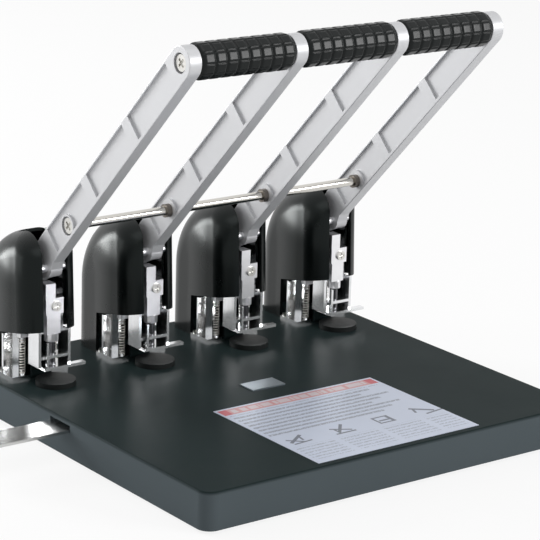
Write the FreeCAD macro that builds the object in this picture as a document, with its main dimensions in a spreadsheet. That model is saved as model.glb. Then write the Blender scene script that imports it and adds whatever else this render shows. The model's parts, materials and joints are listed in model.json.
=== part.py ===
"""A desk hole punch with four heads in a row, worked together by one long lever handle.

X runs along the row of heads, Y to the back, Z up. The origin is at the middle of the mat that the base stands on.
"""
import FreeCAD, Part
import math
import os
import re

import Sketcher

HEADS = 4

# Driving dimensions in millimetres (the lever angle in degrees). Heights named "..._up" are counted from the deck,
# distances named "..._fore" and "..._aft" from the punches' line, towards the front and the back.
DIMENSIONS = {
    # base
    "base_width": 304, "base_depth": 293, "base_height": 25, "base_corner": 9, "base_edge": 1.2,
    "base_wall": 2.5, "deck_thickness": 3, "mat_thickness": 2, "mat_inset": 12, "plate_thickness": 2,
    "plate_gap": 0.3, "boss_radius": 5, "boss_inset": 14,
    # row of punches
    "hole_pitch": 80, "row_back": 67.5, "paper_margin": 12, "throat_height": 10, "punch_radius": 3,
    "punch_wall": 0.8, "stroke": 8.8, "run_gap": 0.05, "slide_gap": 0.2, "seat_gap": 0.3,
    # die disc and stripper plate
    "disc_radius": 13.6, "disc_thickness": 5, "disc_recess": 1.5, "disc_fore": 6, "anvil_radius": 11,
    "stripper_left": 9, "stripper_right": 23, "foot_depth": 4.5, "stripper_fore": 7, "stripper_thickness": 2, "tab_height": 17,
    "tab_left": 7.5, "tab_width": 1.6,
    "stop_width": 16, "stop_thickness": 1.4,
    # sheet frame of a head
    "sheet": 2, "frame_width": 25, "frame_fore": 4.5, "leg_aft": 8.5, "window_up": 41, "post_fore": 21,
    "post_aft": 27, "frame_up": 80, "plate_fore": 1.8, "web_low": 31.2, "web_up": 55, "flange_width": 44,
    "flange_fore": 13.6,
    "flange_aft": 34, "bar_up": 17.5, "wing_reach": 22, "wing_up": 30,
    "frame_screw_span": 37, "frame_screw_aft": 30.6,
    # plunger
    "plunger_depth": 8.5, "holder_up": 34.3, "holder_left": 6, "holder_right": 4.5, "clamp_up": 48,
    "clamp_width": 13.6, "head_up": 59, "head_left": 7, "head_right": 0.5, "plunger_up": 69.3,
    "nut_up": 28.8, "nut_radius": 4.8, "clamp_screw_radius": 3.4, "clamp_screw_head": 1.4,
    # springs
    "spring_aft": 16.5, "spring_span": 24.6, "coil_radius": 1.9, "wire_radius": 0.4, "coil_pitch": 1.9,
    "spring_bar_up": 28.7, "spring_bar_thickness": 3, "spring_bar_depth": 5, "spring_bar_width": 30.2,
    "peg_radius": 1.2, "peg_height": 4,
    # lever
    "lever_angle": 45.5, "pivot_aft": 17, "pivot_up": 74, "pin_radius": 3, "arm_thickness": 9, "arm_width": 21.2,
    "handle_reach": 237.8, "rod_reach": 58.7, "rod_drop": 2.4, "pivot_boss": 8.5, "beam_start": 26,
    "toe_reach": 15.8, "toe_drop": 8.3, "toe_radius": 6.5, "toe_pin_radius": 2.9, "toe_pin_length": 19,
    "panel_start": 36, "panel_length": 56.7, "panel_rib": 9.4, "panel_rim_low": 2.2, "panel_rim_high": 1.2,
    "panel_depth": 1.8, "arm_edge": 0.5, "rod_boss": 7.6, "tie_rod_radius": 3, "handle_rod_radius": 4, "collar_radius": 4.6, "collar_length": 3.6,
    "arm_screw_radius": 5.3, "arm_screw_head": 2.4, "arm_screw_shank": 1.9, "arm_screw_length": 16,
    "arm_sink_radius": 6.4, "arm_sink_depth": 3.4,
    # grips
    "grip_radius": 12, "grip_groove": 0.9, "grip_ring": 7.6, "grip_ring_pitch": 8.8, "grip_land": 1.3,
    # head cover
    "cover_width": 42, "cover_fore": 7.5, "cover_aft": 67, "cover_up": 109.5, "cover_wall": 2.5,
    "cover_skirt_up": 37.7, "cover_skirt_drop": 8.7, "cover_foot_aft": 36, "cover_lean": 3.5, "cover_fall": 22.5,
    "cover_round": 17, "cover_dome": 54, "cover_brow": 18, "slot_width": 19.6, "slot_aft": 26,
    # guide rule
    "rule_width": 23, "rule_thickness": 2, "rule_length": 162, "rule_out": 70, "rule_drop": 6, "rule_back": 16.5,
    "rule_gap": 0.3, "rail_wall": 2.5, "rail_lip": 2, "rail_end": 10, "slot_headroom": 2.7,
    "stop_foot": 5, "guide_stop_height": 24,
    # card, plate and screws
    "card_width": 131, "card_depth": 112, "card_thickness": 0.3, "card_front": 5.2, "card_shift": 1.8,
    "badge_width": 27, "badge_depth": 15, "badge_thickness": 0.8, "badge_back": 2.6, "badge_shift": 3.9,
    "screw_radius": 3.2, "screw_head": 1.6, "screw_shank": 1.5, "screw_length": 8,
}

# Lengths and places that follow from the driving dimensions.
DERIVED = {
    "deck": "mat_thickness + base_height",
    "deck_under": "deck - deck_thickness",
    "skirt_slope": "cover_skirt_drop / (cover_foot_aft + cover_fore + 1)",
    "under_skirt": "deck + cover_skirt_up - skirt_slope * (cover_fore + 1) - seat_gap",
    "plate_top": "mat_thickness + plate_thickness",
    "row": "base_depth / 2 - row_back",
    "disc_top": "deck + disc_thickness - disc_recess",
    "stripper_top": "deck + throat_height + stripper_thickness",
    "plate_inner": "frame_width / 2 - sheet",
    "pivot_height": "deck + pivot_up",
    "half_arm": "arm_width / 2",
    "plunger_aft": "plunger_depth - frame_fore",
    "spring_bar": "deck + spring_bar_up",
    "arm_gap": "hole_pitch - arm_thickness",
    "rods_end": "hole_pitch * 1.5 + arm_thickness / 2 - arm_sink_depth",
    "rule_top": "deck - rule_drop",
    "rule_under": "rule_top - rule_thickness",
}

document = FreeCAD.newDocument("lever_punch")
sheet_object = document.addObject("Spreadsheet::Sheet", "Dims")
nodes = []


def fill_sheet():
    for row, (name, value) in enumerate(DIMENSIONS.items(), start=1):
        sheet_object.set(f"A{row}", name)
        sheet_object.set(f"B{row}", str(value))
        sheet_object.setAlias(f"B{row}", name)
    document.recompute()


def ex(text):
    """Turns a formula in plain names into an expression on the sheet's cells."""

    def name(match):
        word = match.group(0)
        if word in DERIVED:
            return f"({ex(DERIVED[word])})"
        return f"Dims.{word}" if word in DIMENSIONS else word

    return re.sub(r"[a-z][a-z_]+", name, str(text))


def size(name):
    return float(sheet_object.get(name))


def head_x(index):
    return f"hole_pitch * {index - (HEADS - 1) / 2}"


def node(label, thing):
    """Names a finished sub-part, which becomes one file."""
    thing.Label = label
    nodes.append(thing)
    return thing


def place(thing, x="0", y="0", z="0"):
    for axis, formula in zip("xyz", (x, y, z)):
        thing.setExpression(f".Placement.Base.{axis}", ex(formula))
    return thing


def place_on_lever(thing, x="0"):
    """The lever's own frame: its origin on the pivot, its arms along -Y before they are tilted up."""
    thing.Placement = FreeCAD.Placement(FreeCAD.Vector(), FreeCAD.Rotation(FreeCAD.Vector(1, 0, 0), -1))
    thing.setExpression(".Placement.Rotation.Angle", ex("0 - lever_angle"))
    return place(thing, x, "row + pivot_aft", "pivot_height")


# --- Part primitives and booleans -------------------------------------------------------------------------------


def block(name, x, y, z):
    """A box between the low and the high formula of each axis."""
    box = document.addObject("Part::Box", name)
    for side, (low, high) in zip(("Length", "Width", "Height"), (x, y, z)):
        box.setExpression(side, ex(f"({high}) - ({low})"))
    return place(box, x[0], y[0], z[0])


AXIS_TURNS = {
    "x": FreeCAD.Rotation(FreeCAD.Vector(0, 1, 0), 90),
    "y": FreeCAD.Rotation(FreeCAD.Vector(1, 0, 0), -90),
    "z": FreeCAD.Rotation(),
}


def rod(name, axis, start, length, radius):
    """A cylinder along one axis from its start point."""
    cylinder = document.addObject("Part::Cylinder", name)
    cylinder.Placement = FreeCAD.Placement(FreeCAD.Vector(), AXIS_TURNS[axis])
    cylinder.setExpression("Radius", ex(radius))
    cylinder.setExpression("Height", ex(length))
    return place(cylinder, *start)


def fuse(name, pieces):
    joined = document.addObject("Part::MultiFuse", name)
    joined.Shapes = pieces
    joined.Refine = True
    return joined


def cut(name, base, tool):
    result = document.addObject("Part::Cut", name)
    result.Base = base
    result.Tool = tool
    result.Refine = True
    return result


def group(name, pieces):
    together = document.addObject("Part::Compound", name)
    together.Links = pieces
    return together


def cross_screw(name, radius, head, shank, length):
    """A pan-head screw along +Z: the head below z = 0 upwards, the shank above, a cross recess in the head."""
    pan = rod(f"{name}_pan", "z", ("0", "0", f"0 - ({head})"), head, radius)
    stem = rod(f"{name}_stem", "z", ("0", "0", "0"), length, shank)
    arm = f"({radius}) * 0.62"
    slit = f"({radius}) * 0.16"
    depth = (f"0 - ({head}) * 1.5", f"0 - ({head}) * 0.5")
    across = block(f"{name}_slot_a", (f"0 - {arm}", arm), (f"0 - {slit}", slit), depth)
    along = block(f"{name}_slot_b", (f"0 - {slit}", slit), (f"0 - {arm}", arm), depth)
    return cut(name, fuse(f"{name}_blank", [pan, stem]), fuse(f"{name}_cross", [across, along]))


SCREW_TURNS = {
    "-z": FreeCAD.Rotation(FreeCAD.Vector(1, 0, 0), 180),
    "+z": FreeCAD.Rotation(),
    "+x": FreeCAD.Rotation(FreeCAD.Vector(0, 1, 0), 90),
    "-x": FreeCAD.Rotation(FreeCAD.Vector(0, 1, 0), -90),
    "+y": FreeCAD.Rotation(FreeCAD.Vector(1, 0, 0), -90),
}


def seated_screw(name, towards, seat, radius, head, shank, length):
    """A screw whose head's underside is on the seat and whose shank points the given way."""
    screw = cross_screw(name, radius, head, shank, length)
    screw.Placement = FreeCAD.Placement(FreeCAD.Vector(), SCREW_TURNS[towards])
    return place(screw, *seat)


# --- PartDesign features ----------------------------------------------------------------------------------------


def new_body(name):
    return document.addObject("PartDesign::Body", name)


def sketch_on(body, plane, name, offset=("0", "0", "0")):
    """A sketch on one of the body's own planes, moved in the plane and along its normal."""
    sketch = body.newObject("Sketcher::SketchObject", name)
    origin_plane = [item for item in body.Origin.OriginFeatures if item.Role == plane][0]
    sketch.AttachmentSupport = [(origin_plane, "")]
    sketch.MapMode = "FlatFace"
    for axis, formula in zip("xyz", offset):
        sketch.setExpression(f".AttachmentOffset.Base.{axis}", ex(formula))
    return sketch


def outline(sketch, points):
    """A closed polygon whose corners are tied to formulas."""
    first = sketch.GeometryCount
    count = len(points)
    turn = [2 * math.pi * step / count for step in range(count + 1)]
    rough = [FreeCAD.Vector(math.cos(angle), math.sin(angle), 0) for angle in turn]
    for step in range(count):
        sketch.addGeometry(Part.LineSegment(rough[step], rough[step + 1]), False)
    for step, (across, up) in enumerate(points):
        line = first + step
        sketch.addConstraint(Sketcher.Constraint("Coincident", line, 2, first + (step + 1) % count, 1))
        tie(sketch, "DistanceX", line, 1, across)
        tie(sketch, "DistanceY", line, 1, up)


def tie(sketch, kind, line, end, formula):
    constraint = sketch.addConstraint(Sketcher.Constraint(kind, -1, 1, line, end, 1.0))
    sketch.setExpression(f"Constraints[{constraint}]", ex(formula))


def rectangle(sketch, across, up):
    low_x, high_x = across
    low_y, high_y = up
    outline(sketch, [(low_x, low_y), (high_x, low_y), (high_x, high_y), (low_x, high_y)])


def circle(sketch, centre, radius):
    ring = sketch.addGeometry(Part.Circle(FreeCAD.Vector(0, 0, 0), FreeCAD.Vector(0, 0, 1), 1.0), False)
    constraint = sketch.addConstraint(Sketcher.Constraint("Radius", ring, 1.0))
    sketch.setExpression(f"Constraints[{constraint}]", ex(radius))
    tie(sketch, "DistanceX", ring, 3, centre[0])
    tie(sketch, "DistanceY", ring, 3, centre[1])


def extrude(kind, body, sketch, name, length, both_ways=False, backwards=False):
    feature = body.newObject(kind, name)
    feature.Profile = sketch
    feature.setExpression("Length", ex(length))
    feature.SideType = "Symmetric" if both_ways else "One side"
    feature.Reversed = backwards
    return feature


def pad(body, sketch, name, length, **ways):
    return extrude("PartDesign::Pad", body, sketch, name, length, **ways)


def pocket(body, sketch, name, length, **ways):
    return extrude("PartDesign::Pocket", body, sketch, name, length, **ways)


def pattern(body, kind, feature, sketch, axis, name, count, **spread):
    repeated = body.newObject(kind, name)
    repeated.Originals = [feature]
    setattr(repeated, "Axis" if kind.endswith("PolarPattern") else "Direction", (sketch, [axis]))
    repeated.Occurrences = count
    for key, formula in spread.items():
        repeated.setExpression(key, ex(formula))
    body.Tip = repeated
    return repeated


def mirror(body, feature, name):
    """The feature again on the other side of the body's YZ plane."""
    copy = body.newObject("PartDesign::Mirrored", name)
    copy.Originals = [feature]
    yz_plane = [item for item in body.Origin.OriginFeatures if item.Role == "YZ_Plane"][0]
    copy.MirrorPlane = (yz_plane, [""])
    body.Tip = copy
    return copy


def round_edges(body, name, radius, chosen):
    """Fillets the edges of the body's present shape for which chosen(edge) is true."""
    document.recompute()
    base = body.Tip
    edges = [f"Edge{i}" for i, edge in enumerate(base.Shape.Edges, start=1) if chosen(edge)]
    fillet = body.newObject("PartDesign::Fillet", name)
    fillet.Base = (base, edges)
    fillet.setExpression("Radius", ex(radius))
    return fillet


def is_upright(edge):
    box = edge.BoundBox
    return box.ZLength > 1 and box.XLength < 1e-6 and box.YLength < 1e-6


# --- base ---------------------------------------------------------------------------------------------------------


def inset_octagon(sketch, inset, corner):
    """The base's outline moved inwards, with its corners cut off."""
    x = f"(base_width / 2 - ({inset}))"
    y = f"(base_depth / 2 - ({inset}))"
    c = f"({corner})"
    outline(sketch, [
        (f"0 - {x} + {c}", f"0 - {y}"), (f"{x} - {c}", f"0 - {y}"), (x, f"0 - {y} + {c}"), (x, f"{y} - {c}"),
        (f"{x} - {c}", y), (f"0 - {x} + {c}", y), (f"0 - {x}", f"{y} - {c}"), (f"0 - {x}", f"0 - {y} + {c}"),
    ])


def base_screw_places():
    """Three screws along the front of the base and three along the back."""
    across = "(base_width / 2 - boss_inset)"
    along = "(base_depth / 2 - boss_inset)"
    return [(f"{side} * {across}", f"{end} * {along}") for side in (-1, 0, 1) for end in (-1, 1)]


def frame_screw_places(index):
    return [(f"{head_x(index)} + {side} * frame_screw_span / 2", "row + frame_screw_aft") for side in (-1, 1)]


def base_cover():
    body = new_body("BaseCover")
    outside = sketch_on(body, "XY_Plane", "BaseOutside", ("0", "0", "mat_thickness"))
    rectangle(outside, ("0 - base_width / 2", "base_width / 2"), ("0 - base_depth / 2", "base_depth / 2"))
    pad(body, outside, "BaseBlock", "base_height")
    round_edges(body, "BaseCorners", "base_corner", is_upright)
    top = size("mat_thickness") + size("base_height")
    round_edges(body, "BaseTopEdge", "base_edge", lambda edge: edge.BoundBox.ZMin > top - 1e-6)

    hollow = sketch_on(body, "XY_Plane", "BaseHollow", ("0", "0", "mat_thickness"))
    inset_octagon(hollow, "base_wall", "base_corner")
    pocket(body, hollow, "BaseCavity", "base_height - deck_thickness", backwards=True)

    columns = sketch_on(body, "XY_Plane", "ColumnCircles", ("0", "0", "plate_top"))
    for index in range(HEADS):
        circle(columns, (head_x(index), "row - disc_fore"), "anvil_radius")
    for spot in base_screw_places():
        circle(columns, spot, "boss_radius")
    pad(body, columns, "Columns", "deck_under - plate_top")

    rails = sketch_on(body, "XY_Plane", "RailStrips", ("0", "0", "rule_under - rule_gap - sheet"))
    for side in (-1, 1):
        near = f"rule_back + {side} * (rule_width / 2 - rail_lip)"
        far = f"rule_back + {side} * (rule_width / 2 + rule_gap + rail_wall)"
        low, high = (far, near) if side < 0 else (near, far)
        rectangle(rails, ("0 - base_width / 2 + base_wall / 2", "rail_end"), (low, high))
    pad(body, rails, "Rails", "deck_under - rule_under + rule_gap + sheet")
    way = sketch_on(body, "YZ_Plane", "RuleWayBox", ("0", "0", "0 - base_width / 2 - 1"))
    rectangle(way, ("rule_back - rule_width / 2 - rule_gap", "rule_back + rule_width / 2 + rule_gap"),
              ("rule_under - rule_gap", "rule_top + rule_gap"))
    pocket(body, way, "RuleWay", "base_width / 2 + 1 + rail_end + 1", backwards=True)
    mouth = sketch_on(body, "YZ_Plane", "RuleMouthBox", ("0", "0", "0 - base_width / 2 - 1"))
    rectangle(mouth, ("rule_back - rule_width / 2 - rule_gap", "rule_back + rule_width / 2 + rule_gap"),
              ("rule_under - rule_gap", "rule_top + slot_headroom"))
    pocket(body, mouth, "RuleMouth", "base_wall + 1 + 0.01", backwards=True)

    stops = sketch_on(body, "XY_Plane", "StopStrips", ("0", "0", "deck"))
    for index in range(HEADS):
        middle = head_x(index)
        rectangle(stops, (f"{middle} - stop_width / 2", f"{middle} + stop_width / 2"),
                  ("row + paper_margin", "row + paper_margin + stop_thickness"))
    pad(body, stops, "PaperStops", "throat_height")

    recesses = sketch_on(body, "XY_Plane", "DiscCircles", ("0", "0", "deck"))
    for index in range(HEADS):
        circle(recesses, (head_x(index), "row - disc_fore"), "disc_radius + seat_gap")
    pocket(body, recesses, "DiscRecesses", "disc_recess")

    holes = sketch_on(body, "XY_Plane", "FrameScrewCircles", ("0", "0", "deck"))
    for index in range(HEADS):
        for spot in frame_screw_places(index):
            circle(holes, spot, "screw_shank + run_gap")
    pocket(body, holes, "FrameScrewHoles", "deck_thickness")
    bores = sketch_on(body, "XY_Plane", "BossBoreCircles", ("0", "0", "plate_top"))
    for spot in base_screw_places():
        circle(bores, spot, "screw_shank + run_gap")
    pocket(body, bores, "BossBores", "screw_length + 1", backwards=True)
    node("base_cover", body)


def base_plate():
    body = new_body("BasePlate")
    edge = sketch_on(body, "XY_Plane", "PlateOutline", ("0", "0", "mat_thickness"))
    inset_octagon(edge, "base_wall + plate_gap", "base_corner")
    pad(body, edge, "PlateSheet", "plate_thickness")
    through = sketch_on(body, "XY_Plane", "PlateHoles", ("0", "0", "mat_thickness"))
    heads = sketch_on(body, "XY_Plane", "PlateSinks", ("0", "0", "mat_thickness"))
    for spot in base_screw_places():
        circle(through, spot, "screw_shank + seat_gap")
        circle(heads, spot, "screw_radius + seat_gap")
    pocket(body, through, "ScrewHoles", "plate_thickness", backwards=True)
    pocket(body, heads, "ScrewSinks", "plate_thickness / 2", backwards=True)
    node("base_plate", body)


def base_mat():
    x = "(base_width / 2 - mat_inset)"
    y = "(base_depth / 2 - mat_inset)"
    node("base_mat", block("BaseMat", (f"0 - {x}", x), (f"0 - {y}", y), ("0", "mat_thickness")))


def base_screws():
    screws = []
    for number, (x, y) in enumerate(base_screw_places()):
        seat = (x, y, "mat_thickness + plate_thickness / 2")
        screws.append(seated_screw(f"BaseScrew{number}", "+z", seat, "screw_radius", "plate_thickness / 2 - 0.1",
                                   "screw_shank", "screw_length"))
    node("base_screws", group("BaseScrews", screws))


def card_and_badge():
    front = "0 - base_depth / 2 + card_front"
    card = block("Card", ("card_shift - card_width / 2", "card_shift + card_width / 2"),
                 (front, f"{front} + card_depth"), ("deck", "deck + card_thickness"))
    node("instruction_card", card)
    badge = block("Badge", ("0 - badge_shift - badge_width / 2", "0 - badge_shift + badge_width / 2"),
                  ("0 - badge_back - badge_depth / 2", "0 - badge_back + badge_depth / 2"),
                  ("deck", "deck + badge_thickness"))
    node("badge_plate", badge)


# --- guide rule ---------------------------------------------------------------------------------------------------


def guide():
    outer_end = "0 - base_width / 2 - rule_out"
    y = ("rule_back - rule_width / 2", "rule_back + rule_width / 2")
    rule = block("GuideRule", (outer_end, f"{outer_end} + rule_length"), y, ("rule_under", "rule_top"))
    node("guide_rule", rule)
    foot = block("StopFoot", (outer_end, f"{outer_end} + stop_foot"), y, ("rule_top", "rule_top + sheet"))
    fence = block("StopFence", (outer_end, f"{outer_end} + sheet"), y, ("rule_top", "rule_top + guide_stop_height"))
    node("guide_stop", fuse("GuideStop", [foot, fence]))


# --- one head -----------------------------------------------------------------------------------------------------


def die_disc(index):
    disc = rod(f"DieDisc{index}", "z", (head_x(index), "row - disc_fore", "deck - disc_recess"),
               "disc_thickness", "disc_radius")
    node(f"die_disc_{index + 1}", disc)


def head_frame(index):
    body = new_body(f"HeadFrame{index}")
    web = sketch_on(body, "XZ_Plane", f"WebOutline{index}", ("0", "0", "0 - post_aft"))
    rectangle(web, ("0 - frame_width / 2", "frame_width / 2"), ("deck + web_low", "deck + web_up"))
    pad(body, web, f"BackWeb{index}", "sheet")
    wing = sketch_on(body, "XZ_Plane", f"WingOutline{index}", ("0", "0", "0 - post_aft"))
    rectangle(wing, ("0 - wing_reach", "0 - plate_inner"), ("deck", "deck + wing_up"))
    pad(body, wing, f"SideWing{index}", "sheet")

    side = sketch_on(body, "YZ_Plane", f"SideOutline{index}", ("0", "0", "plate_inner"))
    lean = "cover_lean * (frame_up - cover_skirt_up) / (cover_up - cover_skirt_up)"
    outline(side, [
        ("0 - frame_fore", "stripper_top"), ("leg_aft", "stripper_top"), ("leg_aft", "deck + window_up"),
        ("post_fore", "deck + window_up"), ("post_fore", "deck"), ("post_aft", "deck"), ("post_aft", "deck + frame_up"),
        (f"plate_fore + {lean}", "deck + frame_up"), ("plate_fore", "under_skirt - skirt_slope * plate_fore"),
        ("0 - frame_fore", "under_skirt + skirt_slope * frame_fore"),
    ])
    mirror(body, pad(body, side, f"SidePlate{index}", "sheet"), f"SidePlates{index}")

    flange = sketch_on(body, "XY_Plane", f"FlangeOutline{index}", ("0", "0", "deck"))
    rectangle(flange, ("0 - flange_width / 2", "flange_width / 2"), ("flange_fore", "flange_aft"))
    pad(body, flange, f"Flange{index}", "sheet")
    pegs = sketch_on(body, "XY_Plane", f"PegCircles{index}", ("0", "0", "deck + sheet"))
    for side in (-1, 1):
        circle(pegs, (f"{side} * spring_span / 2", "spring_aft"), "peg_radius")
    pad(body, pegs, f"SpringPegs{index}", "peg_height")
    bar = sketch_on(body, "XZ_Plane", f"BarSection{index}", ("0", "0", "frame_fore"))
    rectangle(bar, ("0 - frame_width / 2", "frame_width / 2"), ("deck + bar_up", "deck + bar_up + sheet"))
    pad(body, bar, f"GuideBar{index}", "frame_fore * 2", backwards=True)

    pivot = sketch_on(body, "YZ_Plane", f"PivotCircle{index}")
    circle(pivot, ("pivot_aft", "pivot_height"), "pin_radius + run_gap")
    pocket(body, pivot, f"PivotHoles{index}", "frame_width + 2", both_ways=True)
    guide_hole = sketch_on(body, "XY_Plane", f"GuideCircle{index}", ("0", "0", "deck + bar_up + sheet"))
    circle(guide_hole, ("0", "0"), "punch_radius + run_gap")
    pocket(body, guide_hole, f"PunchGuide{index}", "sheet")
    screw_holes = sketch_on(body, "XY_Plane", f"FlangeCircles{index}", ("0", "0", "deck + sheet"))
    for end in (-1, 1):
        circle(screw_holes, (f"{end} * frame_screw_span / 2", "frame_screw_aft"), "screw_shank + seat_gap")
    pocket(body, screw_holes, f"FlangeHoles{index}", "sheet")
    place(body, head_x(index), "row")
    node(f"head_frame_{index + 1}", body)


def stripper_plate(index):
    middle = head_x(index)
    under = "deck + throat_height"
    plate = block(f"StripperSheet{index}", (f"{middle} - stripper_left", f"{middle} + frame_width / 2"),
                  ("row - stripper_fore", "row + leg_aft"), (under, "stripper_top"))
    foot = block(f"StripperFoot{index}", (f"{middle} + plate_inner", f"{middle} + stripper_right"),
                 ("row - stripper_fore", "row - stripper_fore + foot_depth"), (under, "stripper_top"))
    tab = block(f"StripperTab{index}", (f"{middle} - tab_left", f"{middle} - tab_left + tab_width"),
                ("row - stripper_fore", "row - stripper_fore + sheet"),
                ("stripper_top", "stripper_top + tab_height"))
    bore = rod(f"StripperBore{index}", "z", (middle, "row", under), "stripper_thickness", "punch_radius + seat_gap")
    node(f"stripper_plate_{index + 1}", cut(f"StripperPlate{index}", fuse(f"StripperBlank{index}", [plate, foot, tab]), bore))


def plunger(index):
    """The sliding punch holder, drawn about the punch's axis and moved to its head."""
    depth = ("0 - frame_fore", "plunger_aft")
    holder = block(f"Holder{index}", ("0 - holder_left", "holder_right"), depth, ("deck + holder_up", "deck + clamp_up"))
    clamp = block(f"Clamp{index}", ("0 - clamp_width / 2", "clamp_width / 2"), depth,
                  ("deck + clamp_up", "deck + head_up"))
    crown = block(f"Crown{index}", ("0 - head_left", "head_right"), depth, ("deck + head_up", "deck + plunger_up"))
    ears = block(f"Ears{index}", ("0 - plate_inner + slide_gap", "plate_inner - slide_gap"),
                 ("plunger_aft - sheet", "plunger_aft"), ("deck + clamp_up", "deck + head_up"))
    bar_height = ("spring_bar", "spring_bar + spring_bar_thickness")
    bar_depth = ("spring_aft - spring_bar_depth / 2", "spring_aft + spring_bar_depth / 2")
    stem_top = "deck + holder_up + spring_bar_thickness"
    stem = block(f"SpringStem{index}", ("0 - holder_right", "holder_right"), ("0", bar_depth[1]),
                 ("deck + holder_up", stem_top))
    drop = block(f"SpringDrop{index}", ("0 - holder_right", "holder_right"), bar_depth, ("spring_bar", stem_top))
    bar = block(f"SpringBar{index}", ("0 - spring_bar_width / 2", "spring_bar_width / 2"), bar_depth, bar_height)
    pegs = [rod(f"Peg{index}{name}", "z", (f"{side} * spring_span / 2", "spring_aft", "spring_bar - peg_height"),
                "peg_height + spring_bar_thickness / 2", "peg_radius") for side, name in ((-1, "L"), (1, "R"))]
    blank = fuse(f"PlungerBlank{index}", [holder, clamp, crown, ears, stem, drop, bar] + pegs)
    bore = rod(f"HolderBore{index}", "z", ("0", "0", "deck + holder_up"), "clamp_up - holder_up",
               "punch_radius + run_gap")
    thread = rod(f"ClampThread{index}", "y", ("holder_right / 4", "0 - frame_fore", "deck + (clamp_up + head_up) / 2"),
                 "plunger_depth / 2", "screw_shank + run_gap")
    body = cut(f"Plunger{index}", blank, fuse(f"PlungerBores{index}", [bore, thread]))
    node(f"plunger_{index + 1}", place(body, head_x(index), "row"))

    seat = (f"{head_x(index)} + holder_right / 4", "row - frame_fore", "deck + (clamp_up + head_up) / 2")
    node(f"clamp_screw_{index + 1}",
         seated_screw(f"ClampScrew{index}", "+y", seat, "clamp_screw_radius", "clamp_screw_head", "screw_shank",
                      "plunger_depth / 2 - seat_gap"))


def punch(index):
    """The hollow punch and the nut that holds it in the plunger."""
    tip = "disc_top + slide_gap + stroke"
    centre = (head_x(index), "row")
    tube = rod(f"PunchTube{index}", "z", (*centre, tip), f"deck + clamp_up - ({tip})", "punch_radius")
    hollow = rod(f"PunchHollow{index}", "z", (*centre, tip), f"deck + clamp_up - ({tip})", "punch_radius - punch_wall")
    node(f"punch_{index + 1}", cut(f"Punch{index}", tube, hollow))

    ring = document.addObject("Part::Prism", f"NutPrism{index}")
    ring.Polygon = 12
    ring.setExpression("Circumradius", ex("nut_radius"))
    ring.setExpression("Height", ex("holder_up - nut_up"))
    place(ring, *centre, "deck + nut_up")
    eye = rod(f"NutEye{index}", "z", (*centre, "deck + nut_up"), "holder_up - nut_up", "punch_radius + run_gap")
    node(f"punch_nut_{index + 1}", cut(f"PunchNut{index}", ring, eye))


def return_springs(index):
    """Two coils between the deck and the plunger's cross bar, closed off by their wire's thickness at each end."""
    coils = []
    for side, name in ((-1, "L"), (1, "R")):
        path = document.addObject("Part::Helix", f"CoilPath{index}{name}")
        path.setExpression("Pitch", ex("coil_pitch"))
        path.setExpression("Height", ex("spring_bar_up - sheet - wire_radius * 2 - slide_gap * 2"))
        path.setExpression("Radius", ex("coil_radius"))
        wire = document.addObject("Part::Circle", f"CoilWire{index}{name}")
        wire.Placement = FreeCAD.Placement(FreeCAD.Vector(), FreeCAD.Rotation(FreeCAD.Vector(1, 0, 0), 90))
        wire.setExpression("Radius", ex("wire_radius"))
        wire.setExpression(".Placement.Base.x", ex("coil_radius"))
        coil = document.addObject("Part::Sweep", f"Coil{index}{name}")
        coil.Sections = [wire]
        coil.Spine = (path, ["Edge1"])
        coil.Solid = True
        coil.Frenet = True
        place(coil, f"{head_x(index)} + {side} * spring_span / 2", "row + spring_aft", "deck + sheet + wire_radius + slide_gap")
        coils.append(coil)
    node(f"return_springs_{index + 1}", group(f"ReturnSprings{index}", coils))


def cover_form(name, inset):
    """The cover's outer form, or with the wall as inset the form of its hollow."""
    body = new_body(name)
    side = f"(cover_width / 2 - {inset})"
    fore, aft = f"(0 - cover_fore + {inset})", f"(cover_aft - {inset})"
    top = f"(deck + cover_up - {inset})"
    plan = sketch_on(body, "XY_Plane", f"{name}Plan", ("0", "0", "deck"))
    rectangle(plan, (f"0 - {side}", side), (fore, aft))
    pad(body, plan, f"{name}Walls", f"cover_up - {inset}")
    crown = sketch_on(body, "YZ_Plane", f"{name}Profile")
    outline(crown, [
        (f"{fore} - 1", f"{top} + 1"), (f"{fore} - 1", "deck + cover_skirt_up"), (fore, "deck + cover_skirt_up"),
        (f"{fore} + cover_lean", top), (aft, f"{top} - cover_fall"), (f"{aft} + 1", f"{top} - cover_fall"),
        (f"{aft} + 1", f"{top} + 1"),
    ])
    pocket(body, crown, f"{name}Crown", "cover_width + 2", both_ways=True)

    middle = (size("cover_aft") - size("cover_fore")) / 2
    skirt = size("mat_thickness") + size("base_height") + size("cover_skirt_up") + 1

    def is_across(edge):
        box = edge.BoundBox
        return box.XLength > 1 and box.YLength < 1e-6 and box.ZMin > skirt

    def is_back_top(edge):
        return is_across(edge) and edge.BoundBox.YMin > middle

    def is_front_top(edge):
        return is_across(edge) and edge.BoundBox.YMin < 0

    def is_on_flank(edge):
        box = edge.BoundBox
        return abs(edge.CenterOfMass.x) > 1 and box.ZMax > skirt and box.YMax > middle

    round_edges(body, f"{name}BackTop", f"cover_dome - {inset}", is_back_top)
    round_edges(body, f"{name}FrontTop", f"cover_brow - {inset}", is_front_top)
    round_edges(body, f"{name}Flanks", f"cover_round - {inset}", is_on_flank)
    return body


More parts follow.
